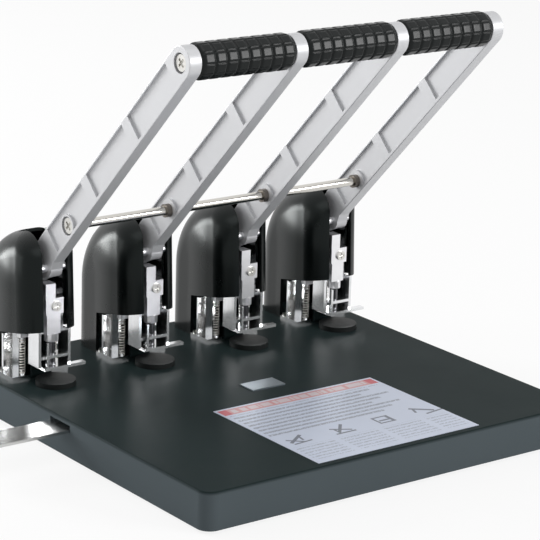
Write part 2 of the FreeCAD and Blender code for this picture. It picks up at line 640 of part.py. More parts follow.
def head_cover(index):
    """A shell with a slot for the arm, whose front half ends above the frame."""
    shell = cut(f"CoverShell{index}", cover_form(f"CoverOuter{index}", "0"), cover_form(f"CoverInner{index}", "cover_wall"))
    mouth = block(f"CoverMouth{index}", ("0 - slot_width / 2", "slot_width / 2"), ("0 - cover_fore - 1", "slot_aft"),
                  ("deck", "deck + cover_up + 1"))
    skirt = new_body(f"CoverOpenSide{index}")
    line = sketch_on(skirt, "YZ_Plane", f"SkirtLine{index}")
    outline(line, [
        ("0 - cover_fore - 1", "deck - 1"), ("cover_foot_aft", "deck - 1"),
        ("cover_foot_aft", "deck + cover_skirt_up - cover_skirt_drop"), ("0 - cover_fore - 1", "deck + cover_skirt_up"),
    ])
    pad(skirt, line, f"SkirtWedge{index}", "cover_width + 2", both_ways=True)
    whole = cut(f"HeadCover{index}", shell, fuse(f"CoverCuts{index}", [mouth, skirt]))
    node(f"head_cover_{index + 1}", place(whole, head_x(index), "row"))


def frame_screws():
    screws = []
    for index in range(HEADS):
        for number, (x, y) in enumerate(frame_screw_places(index)):
            screws.append(seated_screw(f"FrameScrew{index}{number}", "-z", (x, y, "deck + sheet"), "screw_radius",
                                       "screw_head", "screw_shank", "screw_length"))
    node("frame_screws", group("FrameScrews", screws))


def pivot_pins():
    pins = [rod(f"PivotPin{index}", "x", (f"{head_x(index)} - frame_width / 2", "row + pivot_aft", "pivot_height"),
                "frame_width", "pin_radius") for index in range(HEADS)]
    node("pivot_pins", group("PivotPins", pins))


# --- lever --------------------------------------------------------------------------------------------------------


def lever_arm(index):
    """One arm, drawn along -Y from its pivot, with its toe below the beam."""
    body = new_body(f"LeverArm{index}")
    beam = sketch_on(body, "YZ_Plane", f"Beam{index}")
    rectangle(beam, ("0 - handle_reach", "0 - beam_start"), ("0 - half_arm", "half_arm"))
    pad(body, beam, f"BeamPad{index}", "arm_thickness", both_ways=True)
    knee = sketch_on(body, "YZ_Plane", f"Knee{index}")
    outline(knee, [
        ("0", "pivot_boss"), ("0 - beam_start", "half_arm"), ("0 - beam_start", "0 - half_arm"),
        ("0 - toe_reach - toe_radius * 0.7", "0 - toe_drop - toe_radius * 0.7"),
        ("0 - toe_reach + toe_radius * 0.7", "0 - toe_drop - toe_radius * 0.7"), ("0", "0 - pivot_boss"),
    ])
    pad(body, knee, f"KneePad{index}", "arm_thickness", both_ways=True)
    for name, centre, radius in (("Top", ("0 - handle_reach", "0"), "half_arm"), ("Boss", ("0", "0"), "pivot_boss"),
                                 ("Toe", ("0 - toe_reach", "0 - toe_drop"), "toe_radius")):
        round_part = sketch_on(body, "YZ_Plane", f"{name}Circle{index}")
        circle(round_part, centre, radius)
        pad(body, round_part, f"{name}Pad{index}", "arm_thickness", both_ways=True)
    round_edges(body, f"ArmEdges{index}", "arm_edge",
                lambda edge: edge.BoundBox.XLength < 1e-6 and edge.Length > size("arm_width"))

    for side, turned in ((-1, False), (1, True)):
        face = sketch_on(body, "YZ_Plane", f"Panels{index}{'LR'[turned]}", ("0", "0", f"{side} * arm_thickness / 2"))
        for number in range(3):
            start = f"(panel_start + {number} * (panel_length + panel_rib))"
            rectangle(face, (f"0 - {start} - panel_length", f"0 - {start}"),
                      ("0 - half_arm + panel_rim_low", "half_arm - panel_rim_high"))
        pocket(body, face, f"PanelPockets{index}{'LR'[turned]}", "panel_depth", backwards=not turned)
    boss = sketch_on(body, "YZ_Plane", f"RodBoss{index}")
    circle(boss, ("0 - rod_reach", "0 - rod_drop"), "rod_boss")
    pad(body, boss, f"RodBossPad{index}", "arm_thickness", both_ways=True)

    holes = sketch_on(body, "YZ_Plane", f"ArmHoles{index}")
    circle(holes, ("0", "0"), "pin_radius + run_gap")
    circle(holes, ("0 - toe_reach", "0 - toe_drop"), "toe_pin_radius + run_gap")
    circle(holes, ("0 - rod_reach", "0 - rod_drop"), "tie_rod_radius + run_gap")
    circle(holes, ("0 - handle_reach", "0"), "handle_rod_radius + run_gap")
    pocket(body, holes, f"ArmBores{index}", "arm_thickness + 2", both_ways=True)
    outer_side = {0: -1, HEADS - 1: 1}.get(index)
    if outer_side:
        sinks = sketch_on(body, "YZ_Plane", f"ScrewSinks{index}", ("0", "0", f"{outer_side} * arm_thickness / 2"))
        circle(sinks, ("0 - rod_reach", "0 - rod_drop"), "arm_sink_radius")
        circle(sinks, ("0 - handle_reach", "0"), "arm_sink_radius")
        pocket(body, sinks, f"ScrewSinkPockets{index}", "arm_sink_depth", backwards=outer_side < 0)
    place_on_lever(body, head_x(index))
    node(f"lever_arm_{index + 1}", body)


def toe_pins():
    pins = [rod(f"ToePin{index}", "x", (f"{head_x(index)} - toe_pin_length / 2", "0 - toe_reach", "0 - toe_drop"),
                "toe_pin_length", "toe_pin_radius") for index in range(HEADS)]
    node("toe_pins", place_on_lever(group("ToePins", pins)))


def cross_rod(label, name, reach, drop, radius):
    """A rod through all the arms, bored at its ends for the arm screws."""
    start = ("0 - rods_end", f"0 - {reach}", f"0 - {drop}")
    bar = rod(f"{name}Bar", "x", start, "rods_end * 2", radius)
    deep = "arm_screw_length + 1"
    left = rod(f"{name}BoreL", "x", start, deep, "arm_screw_shank + run_gap")
    right = rod(f"{name}BoreR", "x", (f"rods_end - ({deep})", start[1], start[2]), deep, "arm_screw_shank + run_gap")
    node(label, place_on_lever(cut(name, bar, fuse(f"{name}Bores", [left, right]))))


def tie_collars():
    rings = []
    for index in range(1, HEADS):
        start = (f"{head_x(index)} - arm_thickness / 2 - collar_length", "0 - rod_reach", "0 - rod_drop")
        ring = rod(f"Collar{index}", "x", start, "collar_length", "collar_radius")
        eye = rod(f"CollarEye{index}", "x", start, "collar_length", "tie_rod_radius + run_gap")
        rings.append(cut(f"TieCollar{index}", ring, eye))
    node("tie_collars", place_on_lever(group("TieCollars", rings)))


def arm_screws():
    screws = []
    for towards, x in (("+x", "0 - rods_end"), ("-x", "rods_end")):
        for name, reach, drop in (("Handle", "handle_reach", "0"), ("Rod", "rod_reach", "rod_drop")):
            seat = (x, f"0 - {reach}", f"0 - {drop}")
            screws.append(seated_screw(f"ArmScrew{name}{'RL'[towards == '+x']}", towards, seat, "arm_screw_radius",
                                       "arm_screw_head", "arm_screw_shank", "arm_screw_length"))
    node("arm_screws", place_on_lever(group("ArmScrews", screws)))


def handle_grip(index):
    """A rubber sleeve between two arm tops, its skin parted into pads by rings and flutes."""
    body = new_body(f"Grip{index}")
    section = sketch_on(body, "YZ_Plane", f"GripCore{index}", ("0 - handle_reach", "0", "0"))
    circle(section, ("0", "0"), "grip_radius - grip_groove")
    circle(section, ("0", "0"), "handle_rod_radius + run_gap")
    pad(body, section, f"GripSleeve{index}", "arm_gap - seat_gap * 2", both_ways=True)
    rings = 8
    ring = sketch_on(body, "YZ_Plane", f"GripRing{index}",
                     ("0 - handle_reach", "0", f"0 - grip_ring_pitch * {(rings - 1) / 2} - grip_ring / 2"))
    circle(ring, ("0", "0"), "grip_radius")
    circle(ring, ("0", "0"), "grip_radius - grip_groove * 2")
    first = pad(body, ring, f"GripBand{index}", "grip_ring")
    bands = pattern(body, "PartDesign::LinearPattern", first, ring, "N_Axis", f"GripBands{index}", rings,
                    Length=f"grip_ring_pitch * {rings - 1}")
    flute = sketch_on(body, "YZ_Plane", f"GripFlute{index}", ("0 - handle_reach", "0", "0"))
    rectangle(flute, ("0 - grip_land / 2", "grip_land / 2"), ("grip_radius - grip_groove", "grip_radius + 1"))
    cutter = pocket(body, flute, f"GripFluteCut{index}", "arm_gap", both_ways=True)
    pattern(body, "PartDesign::PolarPattern", cutter, flute, "N_Axis", f"GripFlutes{index}", 10)
    place_on_lever(body, f"{head_x(index)} + hole_pitch / 2")
    node(f"handle_grip_{index + 1}", body)
    return bands


# --- the whole punch ----------------------------------------------------------------------------------------------


def build():
    fill_sheet()
    base_cover()
    base_plate()
    base_mat()
    base_screws()
    card_and_badge()
    guide()
    for index in range(HEADS):
        die_disc(index)
        head_frame(index)
        stripper_plate(index)
        plunger(index)
        punch(index)
        return_springs(index)
        head_cover(index)
        lever_arm(index)
    for index in range(HEADS - 1):
        handle_grip(index)
    frame_screws()
    pivot_pins()
    toe_pins()
    cross_rod("tie_rod", "TieRod", "rod_reach", "rod_drop", "tie_rod_radius")
    cross_rod("handle_rod", "HandleRod", "handle_reach", "0", "handle_rod_radius")
    tie_collars()
    arm_screws()
    document.recompute()


def check():
    failed = [item.Name for item in document.Objects if {"Invalid", "Error"} & set(item.State)]
    if failed:
        raise RuntimeError(f"features that failed: {failed}")
    for thing in nodes:
        if thing.Shape.isNull() or not thing.Shape.isValid():
            raise RuntimeError(f"{thing.Label} has no valid shape")


def export():
    os.makedirs("parts", exist_ok=True)
    for thing in nodes:
        thing.Shape.exportStep(f"parts/{thing.Label}.step")
    print(len(nodes), "sub-parts written")


build()
check()
export()
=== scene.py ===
"""Looks of a four-head lever punch: finishes, moulded grips, welded spring coils, a card, a studio."""

from functools import reduce
import json
import math
from operator import or_

import bmesh
import bpy
from mathutils import Matrix, Vector


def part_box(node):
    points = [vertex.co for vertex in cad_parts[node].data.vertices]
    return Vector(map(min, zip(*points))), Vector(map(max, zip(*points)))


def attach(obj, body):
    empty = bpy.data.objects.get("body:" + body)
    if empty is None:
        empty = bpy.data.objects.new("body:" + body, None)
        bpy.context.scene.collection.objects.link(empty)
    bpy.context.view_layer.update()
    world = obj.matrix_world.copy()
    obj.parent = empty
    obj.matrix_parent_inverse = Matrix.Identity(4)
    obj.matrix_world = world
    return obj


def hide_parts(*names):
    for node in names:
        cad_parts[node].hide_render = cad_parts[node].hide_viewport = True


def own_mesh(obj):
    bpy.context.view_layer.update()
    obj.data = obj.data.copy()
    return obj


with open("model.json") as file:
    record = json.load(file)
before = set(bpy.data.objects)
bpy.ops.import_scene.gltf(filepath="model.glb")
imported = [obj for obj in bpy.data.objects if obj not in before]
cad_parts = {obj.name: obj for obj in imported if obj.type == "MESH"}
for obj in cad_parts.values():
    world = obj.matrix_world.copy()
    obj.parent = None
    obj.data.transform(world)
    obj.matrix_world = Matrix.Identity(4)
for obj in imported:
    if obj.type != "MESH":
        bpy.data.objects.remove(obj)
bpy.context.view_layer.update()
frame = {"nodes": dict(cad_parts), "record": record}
nodes = frame["nodes"]
MM = 0.001
PER_MM = (1 / MM, 1 / MM, 1 / MM)
WELD = 0.01 * MM
WHITE = (1.0, 1.0, 1.0)


# --- node trees and shader maths ---------------------------------------------------------------


class Signal:
    """A number on a socket of a node tree. Python's operators on it add Math nodes."""

    def __init__(self, graph, socket):
        self.graph = graph
        self.socket = socket

    def math(self, operation, *others, clamp=False):
        settings = {"operation": operation, "use_clamp": clamp}
        made = self.graph.node("ShaderNodeMath", settings, self, *others)
        return Signal(self.graph, made.outputs[0])

    def __add__(self, other):
        return self.math("ADD", other)

    __radd__ = __add__

    def __mul__(self, other):
        return self.math("MULTIPLY", other)

    __rmul__ = __mul__

    def __sub__(self, other):
        return self.math("SUBTRACT", other)

    def __rsub__(self, other):
        return (self * -1.0) + other

    def __truediv__(self, other):
        return self.math("DIVIDE", other)

    def __rtruediv__(self, other):
        return self.math("POWER", -1.0) * other

    def __gt__(self, other):
        return self.math("GREATER_THAN", other)

    def __lt__(self, other):
        return self.math("LESS_THAN", other)

    def __and__(self, other):
        return self.math("MULTIPLY", other)

    def __or__(self, other):
        return self.math("MAXIMUM", other)

    def size(self):
        return self.math("ABSOLUTE")

    def fraction(self):
        return self.math("FRACT")

    def whole(self):
        return self.math("FLOOR")

    def clamped(self):
        return self.math("ADD", 0.0, clamp=True)

    def at_least(self, floor):
        return self.math("MAXIMUM", floor)

    def between(self, low, high):
        return (self > low) & (self < high)


class Graph:
    """A node tree whose nodes all come from one method."""

    def __init__(self, tree):
        self.tree = tree

    def node(self, kind, settings=None, *values, **named):
        """Any node: settings first, then values or links for its sockets, by order or by name."""
        made = self.tree.nodes.new(kind)
        for key, value in (settings or {}).items():
            setattr(made, key, value)
        for index, value in enumerate(values):
            self.feed(made.inputs[index], value)
        for label, value in named.items():
            self.feed(made.inputs[label.replace("_", " ")], value)
        return made

    def feed(self, socket, value):
        """Links a signal or a socket; anything else becomes the socket's own value."""
        if isinstance(value, Signal):
            value = value.socket
        if isinstance(value, bpy.types.NodeSocket):
            self.tree.links.new(value, socket)
        elif isinstance(value, tuple) and len(value) == 3 and len(socket.default_value) == 4:
            socket.default_value = (*value, 1.0)
        else:
            socket.default_value = value


class Finish(Graph):
    """One node material around a Principled shader."""

    MIX_SOCKETS = {"factor": 0, "low": 6, "high": 7}
    MIX_COLOUR = 2

    def __init__(self, name, **constants):
        self.material = bpy.data.materials.new(name)
        self.material.use_nodes = True
        super().__init__(self.material.node_tree)
        self.tree.nodes.clear()
        self.shader = self.node("ShaderNodeBsdfPrincipled")
        self.output = self.node("ShaderNodeOutputMaterial", {}, self.shader.outputs[0])
        for label, value in constants.items():
            self.set(label.replace("_", " "), value)

    def set(self, label, value):
        self.feed(self.shader.inputs[label], value)

    def place(self, centre=(0, 0, 0), turn=(0, 0, 0), scale=(1, 1, 1)):
        """Object coordinates, moved to a centre, turned and stretched."""
        spot = self.node("ShaderNodeTexCoord").outputs["Object"]
        moved = self.node("ShaderNodeVectorMath", {"operation": "SUBTRACT"}, spot, tuple(centre))
        mapping = self.node("ShaderNodeMapping", {}, Vector=moved.outputs[0], Rotation=turn, Scale=scale)
        return mapping.outputs[0]

    def axes(self, vector):
        parts = self.node("ShaderNodeSeparateXYZ", {}, vector)
        return [Signal(self, out) for out in parts.outputs]

    def noise(self, vector, scale=1.0, detail=2.0, roughness=0.5):
        sockets = {"Vector": vector, "Scale": scale, "Detail": detail, "Roughness": roughness}
        return Signal(self, self.node("ShaderNodeTexNoise", {}, **sockets).outputs["Fac"])

    def mix(self, factor, low, high):
        made = self.node("ShaderNodeMix", {"data_type": "RGBA"})
        self.feed(made.inputs[self.MIX_SOCKETS["factor"]], factor)
        self.feed(made.inputs[self.MIX_SOCKETS["low"]], low)
        self.feed(made.inputs[self.MIX_SOCKETS["high"]], high)
        return made.outputs[self.MIX_COLOUR]

    def bump(self, height, strength, distance, under=None):
        made = self.node("ShaderNodeBump", {}, Height=height, Strength=strength, Distance=distance)
        if under:
            self.feed(made.inputs["Normal"], under)
        return made.outputs[0]


def level(signal, middle, spread):
    """A noise signal turned into a value that wanders about a middle."""
    return (signal - 0.5) * (2 * spread) + middle


def any_of(masks):
    """One mask that covers what any of the masks covers."""
    return reduce(or_, masks)


# --- finishes ----------------------------------------------------------------------------------


def painted_base():
    """Satin charcoal stoving enamel with a fine orange-peel texture, with painted light: the sides are
    coloured a shade lighter than the deck, as if more lamp light fell on them.
    """
    deck_shades = (0.0135, 0.0215, 0.0220), (0.0170, 0.0265, 0.0270)
    # Painted light: the sides' colours are lighter than the deck's, standing in for the lamps falling more
    # on them.
    painted_light_side_shades = (0.074, 0.091, 0.099), (0.086, 0.104, 0.114)
    side_start = 0.3 * MM
    side_blend = 2 * MM
    paint = Finish("base_enamel", Specular_IOR_Level=0.02)
    spot = paint.place()
    cloud = paint.noise(spot, scale=9.0, detail=3.0)
    peel = paint.noise(spot, scale=900.0)
    dull = paint.noise(spot, scale=40.0, detail=4.0)
    deck_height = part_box("instruction_card")[0].z - side_start
    below = ((deck_height - paint.axes(spot)[2]) / side_blend).clamped()
    deck = paint.mix(cloud, *deck_shades)
    sides = paint.mix(cloud, *painted_light_side_shades)
    # Painted light: below the deck's edge the colour turns to the lighter side colours.
    paint.set("Base Color", paint.mix(below, deck, sides))
    paint.set("Roughness", level(dull, middle=0.40, spread=0.04))
    paint.set("Normal", paint.bump(peel, strength=0.06, distance=0.1 * MM))
    return paint.material


# The side walls of a cover shade as flat for a stretch behind the front edge and as swollen further
# back, and so does the upper part towards the crown. The swells are parabolas, given by their factors.
WALL_FLAT = 24 * MM
WALL_SWELL = 6.5
SHOULDER_DEPTH = 45 * MM
SHOULDER_SWELL = 8.0


def gloss_cover():
    """Black moulded shell, its polish soft and slightly rubbed, with a gentle swell in the light on it."""
    shades = (0.0022, 0.0034, 0.0034), (0.0036, 0.0050, 0.0050)
    shell = Finish("cover_gloss_black", Specular_IOR_Level=0.17, Specular_Tint=(0.90, 1.0, 0.98))
    spot = shell.place()
    rub = shell.noise(spot, scale=35.0, detail=5.0, roughness=0.6)
    ripple = shell.noise(spot, scale=90.0, detail=1.0)
    low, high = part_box("head_cover_1")
    _, along, up = shell.axes(spot)
    behind = (along - (low.y + WALL_FLAT)).at_least(0.0)
    above = (up - (high.z - SHOULDER_DEPTH)).at_least(0.0)
    sink = behind * behind * -WALL_SWELL - above * above * SHOULDER_SWELL
    swell = shell.bump(sink, strength=1.0, distance=1.0)
    shell.set("Base Color", shell.mix(rub, *shades))
    shell.set("Roughness", level(rub, middle=0.28, spread=0.03))
    shell.set("Normal", shell.bump(ripple, strength=0.03, distance=0.3 * MM, under=swell))
    return shell.material


LEVER_TILT = math.radians(45.5)


def satin_arm():
    """Die-cast arm in pale satin lacquer, its fine grain along the beam."""
    shades = (0.56, 0.565, 0.58), (0.63, 0.635, 0.65)
    metal = Finish("arm_satin_silver", Metallic=0.35)
    spot = metal.place()
    streak = metal.noise(metal.place(turn=(LEVER_TILT, 0, 0), scale=(900, 60, 900)), detail=3.0)
    cloud = metal.noise(spot, scale=14.0, detail=3.0)
    grain = metal.noise(spot, scale=2200.0)
    metal.set("Base Color", metal.mix(cloud, *shades))
    metal.set("Roughness", level(streak, middle=0.42, spread=0.07))
    metal.set("Normal", metal.bump(grain, strength=0.10, distance=0.1 * MM))
    return metal.material


def steel(name, colour, roughness, grain, line_depth=0.02):
    """Bright steel with drawn or brushed lines; grain is how fine they are along each axis."""
    tarnish = 0.86
    metal = Finish(name, Metallic=1.0)
    lines = metal.noise(metal.place(scale=grain), detail=4.0, roughness=0.6)
    dull = metal.noise(metal.place(), scale=120.0, detail=4.0)
    metal.set("Base Color", metal.mix(dull, tuple(part * tarnish for part in colour), colour))
    metal.set("Roughness", level(lines, middle=roughness, spread=0.05))
    metal.set("Normal", metal.bump(lines, strength=line_depth, distance=0.05 * MM))
    return metal.material


def grip_rubber():
    """Black moulded rubber, slightly shiny on the pads from use."""
    shades = (0.006, 0.008, 0.008), (0.010, 0.012, 0.012)
    rubber = Finish("grip_rubber_black", Specular_IOR_Level=0.16)
    spot = rubber.place()
    speck = rubber.noise(spot, scale=900.0, detail=3.0)
    wear = rubber.noise(spot, scale=60.0, detail=3.0)
    rubber.set("Base Color", rubber.mix(wear, *shades))
    rubber.set("Roughness", level(wear, middle=0.24, spread=0.05))
    rubber.set("Normal", rubber.bump(speck, strength=0.10, distance=0.1 * MM))
    return rubber.material


def matt_black(name, roughness, shine=0.5):
    """Plain black plastic or rubber with a fine spark-eroded texture."""
    shades = (0.011, 0.013, 0.013), (0.018, 0.020, 0.020)
    plastic = Finish(name, Specular_IOR_Level=shine)
    spot = plastic.place()
    cloud = plastic.noise(spot, scale=200.0, detail=3.0)
    texture = plastic.noise(spot, scale=1500.0)
    plastic.set("Base Color", plastic.mix(cloud, *shades))
    plastic.set("Roughness", level(cloud, middle=roughness, spread=0.08))
    plastic.set("Normal", plastic.bump(texture, strength=0.12, distance=0.1 * MM))
    return plastic.material


# The card's print, in mm. The heading's rows and the top of the text are measured down from the
# card's top edge, the other rows up from its foot.
CARD_MARGIN = 3.0
HEADING_SIDE = 1.6
HEADING_ROWS = (2.0, 11.5)
HEADING_END = 8.0
HEADING_WORD_ROWS = (4.0, 9.6)
HEADING_WORD_SIDE = 10.0
TEXT_TOP = 14.0
TEXT_FOOT = 53.0
TEXT_PITCH = 5.4
LINE_RAG = 30.0
SHORTEST_LINE_GAP = 34.0
RAG_STEP = 5.37
NOTE_ROWS = (6.0, 30.0)
NOTE_LINE_PITCH = 4.1
NOTE_PITCH = 35.5
NOTE_WIDTH = 0.86
SKETCH_LEFT = 14.0
SKETCH_UP = 41.0
# The part of its pitch that a line fills, how fine its letters are, the noise that leaves a gap
# between them, and how dark the ink is.
TEXT_LINE = (0.18, 0.66)
NOTE_LINE = (0.25, 0.70)
WORD_GRAIN = (260, 1, 1)
LETTER_GRAIN = (900, 700, 1)
WORD_GAP = 0.44
TEXT_GAP = 0.42
NOTE_GAP = 0.47
SKETCH_INK = 0.88
TEXT_INK = 0.58
NOTE_INK = 0.42
# Strokes of the four small drawings: angle, length, thickness and place beside the drawing's middle.
SKETCHES = [
    [(35, 17, 2.4, 0, 1), (-40, 13, 1.8, -2, -2), (5, 15, 1.6, 1, -6), (80, 8, 1.6, 4, 1)],
    [(50, 15, 2.2, 1, 2), (-30, 15, 1.8, 0, 0), (0, 16, 1.8, 0, -6), (90, 9, 1.6, -4, -2)],
    [(0, 13, 1.6, 0, 5), (0, 13, 1.6, 0, -5), (90, 11, 1.6, -6, 0), (90, 11, 2.6, 5, 0), (0, 9, 2.0, 0, -1)],
    [(-38, 17, 2.6, -2, 2), (8, 17, 1.8, 4, -5), (70, 7, 1.8, -8, 2)],
]


def sketch_strokes(x, y):
    """One mask for each stroke of the small drawings, as a turned rectangle."""
    for number, strokes in enumerate(SKETCHES):
        for angle, length, thickness, right, up in strokes:
            cosine = math.cos(math.radians(angle))
            sine = math.sin(math.radians(angle))
            dx = x - (SKETCH_LEFT + NOTE_PITCH * number + right)
            dy = y - (SKETCH_UP + up)
            along = (dx * cosine + dy * sine).size() < length / 2
            across = (dy * cosine - dx * sine).size() < thickness / 2
            yield along & across


def printed_card():
    """Coated card: a red heading bar, grey bars for text and four small drawings, none of them readable."""
    paper_shades = (0.53, 0.575, 0.69), (0.58, 0.63, 0.745)
    heading_shades = (0.56, 0.27, 0.27), (0.58, 0.50, 0.53)
    heading_red = (0.50, 0.07, 0.09)
    ink_grey = (0.09, 0.10, 0.13)
    low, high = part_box("instruction_card")
    width = (high.x - low.x) / MM
    depth = (high.y - low.y) / MM
    card = Finish("card_print")
    x, y, _ = card.axes(card.place(centre=low, scale=PER_MM))
    inside = x.between(CARD_MARGIN, width - CARD_MARGIN)

    def down(rows):
        return y.between(depth - rows[1], depth - rows[0])

    heading = down(HEADING_ROWS) & x.between(HEADING_SIDE, width - HEADING_SIDE)
    heading_ends = heading & (1.0 - x.between(HEADING_END, width - HEADING_END))
    word = card.noise(card.place(scale=WORD_GRAIN), detail=1.0)
    word_row = down(HEADING_WORD_ROWS) & x.between(HEADING_WORD_SIDE, width - HEADING_WORD_SIDE)
    heading_words = (word > WORD_GAP) & word_row

    letters = card.noise(card.place(scale=LETTER_GRAIN))
    line = (y - TEXT_FOOT) / TEXT_PITCH
    on_line = line.fraction().between(*TEXT_LINE) & y.between(TEXT_FOOT, depth - TEXT_TOP)
    ragged = x < (line.whole() * RAG_STEP).fraction() * LINE_RAG + (width - SHORTEST_LINE_GAP)
    text = on_line & inside & ragged & (letters > TEXT_GAP)

    note_line = (y / NOTE_LINE_PITCH).fraction().between(*NOTE_LINE) & y.between(*NOTE_ROWS)
    column = ((x - CARD_MARGIN) / NOTE_PITCH).fraction() < NOTE_WIDTH
    notes = note_line & column & inside & (letters > NOTE_GAP)
    sketches = any_of(sketch_strokes(x, y))
    ink = any_of([sketches * SKETCH_INK, text * TEXT_INK, notes * NOTE_INK])

    paper = card.mix(card.noise(card.place(), scale=60.0), *paper_shades)
    pink = card.mix(heading_words, *heading_shades)
    red = card.mix(heading_ends, pink, heading_red)
    printed = card.mix(ink, paper, ink_grey)
    card.set("Base Color", card.mix(heading, printed, red))
    card.set("Roughness", level(letters, middle=0.38, spread=0.04))
    return card.material


# Strokes of the guide rule in mm: their pitch, the part of it that a stroke fills, and their length.
RULE_STROKES = [(1.0, 0.16, 3.0), (5.0, 0.05, 4.6), (10.0, 0.03, 6.4)]
RULE_FACE = 1.9


def marked_rule():
    """Bright flat steel with etched millimetre strokes along its front edge."""
    bright = (0.62, 0.62, 0.61)
    etched = (0.05, 0.05, 0.05)
    etched_roughness = 0.3
    metal = Finish("rule_steel", Metallic=1.0)
    lines = metal.noise(metal.place(scale=(20, 2500, 2500)), detail=3.0)
    x, y, z = metal.axes(metal.place(centre=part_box("guide_rule")[0], scale=PER_MM))
    strokes = [((x / pitch).fraction() < share) & (y < length) for pitch, share, length in RULE_STROKES]
    stroke = any_of(strokes) & (z > RULE_FACE)
    metal.set("Base Color", metal.mix(stroke, bright, etched))
    metal.set("Roughness", level(lines, middle=0.24, spread=0.06) + stroke * etched_roughness)
    metal.set("Normal", metal.bump(lines, strength=0.05, distance=0.1 * MM))
    return metal.material


ENAMEL = painted_base()
GLOSS = gloss_cover()
SILVER = satin_arm()
RUBBER = grip_rubber()
FRAME_STEEL = steel("frame_bright_sheet", (0.86, 0.87, 0.88), 0.17, (500, 500, 30), line_depth=0.005)
PLUNGER_STEEL = steel("plunger_milled", (0.88, 0.88, 0.90), 0.30, (500, 500, 60))
PUNCH_STEEL = steel("punch_oiled", (0.16, 0.16, 0.17), 0.25, (60, 60, 1500))
SPRING_STEEL = steel("spring_wire", (0.78, 0.76, 0.72), 0.22, (300, 300, 300), line_depth=0.03)
BRIGHT_ROD = steel("rod_polished", (0.66, 0.64, 0.60), 0.16, (20, 600, 600), line_depth=0.01)
COLLAR_STEEL = steel("collar_blackened", (0.20, 0.18, 0.16), 0.34, (900, 900, 900))
SCREW_STEEL = steel("screw_zinc", (0.70, 0.69, 0.66), 0.30, (700, 700, 700))
PLATE_STEEL = steel("plate_zinc", (0.55, 0.55, 0.56), 0.45, (60, 900, 900))
BADGE = steel("badge_satin", (0.27, 0.31, 0.34), 0.36, (60, 1800, 1800))

SURFACES = {
    "base_cover": ENAMEL,
    "base_plate": PLATE_STEEL,
    "base_mat": matt_black("mat_rubber", 0.8),
    "base_screws": SCREW_STEEL,
    "frame_screws": SCREW_STEEL,
    "arm_screws": SCREW_STEEL,
    "clamp_screw": SCREW_STEEL,
    "instruction_card": printed_card(),
    "badge_plate": BADGE,
    "pivot_pins": PLUNGER_STEEL,
    "toe_pins": PLUNGER_STEEL,
    "die_disc": matt_black("disc_nylon", 0.42, shine=0.12),
    "head_frame": FRAME_STEEL,
    "stripper_plate": FRAME_STEEL,
    "return_springs": SPRING_STEEL,
    "head_cover": GLOSS,
    "lever_arm": SILVER,
    "handle_grip": RUBBER,
    "tie_rod": BRIGHT_ROD,
    "handle_rod": BRIGHT_ROD,
    "tie_collars": COLLAR_STEEL,
    "plunger": PLUNGER_STEEL,
    "punch_nut": PLUNGER_STEEL,
    "punch": PUNCH_STEEL,
    "guide_rule": marked_rule(),
    "guide_stop": matt_black("stop_plastic", 0.5),
}


def kind(name):
    """A node's name without its number."""
    return name.rstrip("0123456789").rstrip("_")


def numbers(stem):
    """The numbers of the nodes of one kind, from 1."""
    return range(1, 1 + sum(kind(name) == stem for name in nodes))


def dress_nodes():
    """Gives each CAD node the surface of its kind; numbered nodes share one."""
    for name, thing in nodes.items():
        thing.data.materials.clear()
        thing.data.materials.append(SURFACES[kind(name)])


def add_object(name, data):
    made = bpy.data.objects.new(name, data)
    bpy.context.scene.collection.objects.link(made)
    return made


# --- moulded grips -----------------------------------------------------------------------------

GRIP_SIZES = {
    "Groove": 1.3 * MM, "Land": 1.3 * MM, "Rings": 8, "Pads": 10, "Steps": 14, "Squareness": 9.0,
}


class Recipe(Graph):
    """A Geometry Nodes tree with named inputs."""

    def __init__(self, name, inputs):
        super().__init__(bpy.data.node_groups.new(name, "GeometryNodeTree"))
        face = self.tree.interface
        self.identifiers = {}
        for label, holds in inputs.items():
            socket = face.new_socket(label, in_out="INPUT", socket_type="NodeSocket" + holds)
            self.identifiers[label] = socket.identifier
        face.new_socket("Geometry", in_out="OUTPUT", socket_type="NodeSocketGeometry")
        self.entry = self.node("NodeGroupInput")

    def input(self, label):
        return Signal(self, self.entry.outputs[label])

    def make(self, name, values):
        """The tree's result as a plain mesh object."""
        holder = add_object(name + "_holder", bpy.data.meshes.new(name + "_holder"))
        modifier = holder.modifiers.new("recipe", "NODES")
        modifier.node_group = self.tree
        for label, value in values.items():
            modifier[self.identifiers[label]] = value
        graph = bpy.context.evaluated_depsgraph_get()
        mesh = bpy.data.meshes.new_from_object(holder.evaluated_get(graph))
        holder.modifiers.remove(modifier)
        bpy.data.objects.remove(holder)
        mesh.name = name
        return add_object(name, mesh)


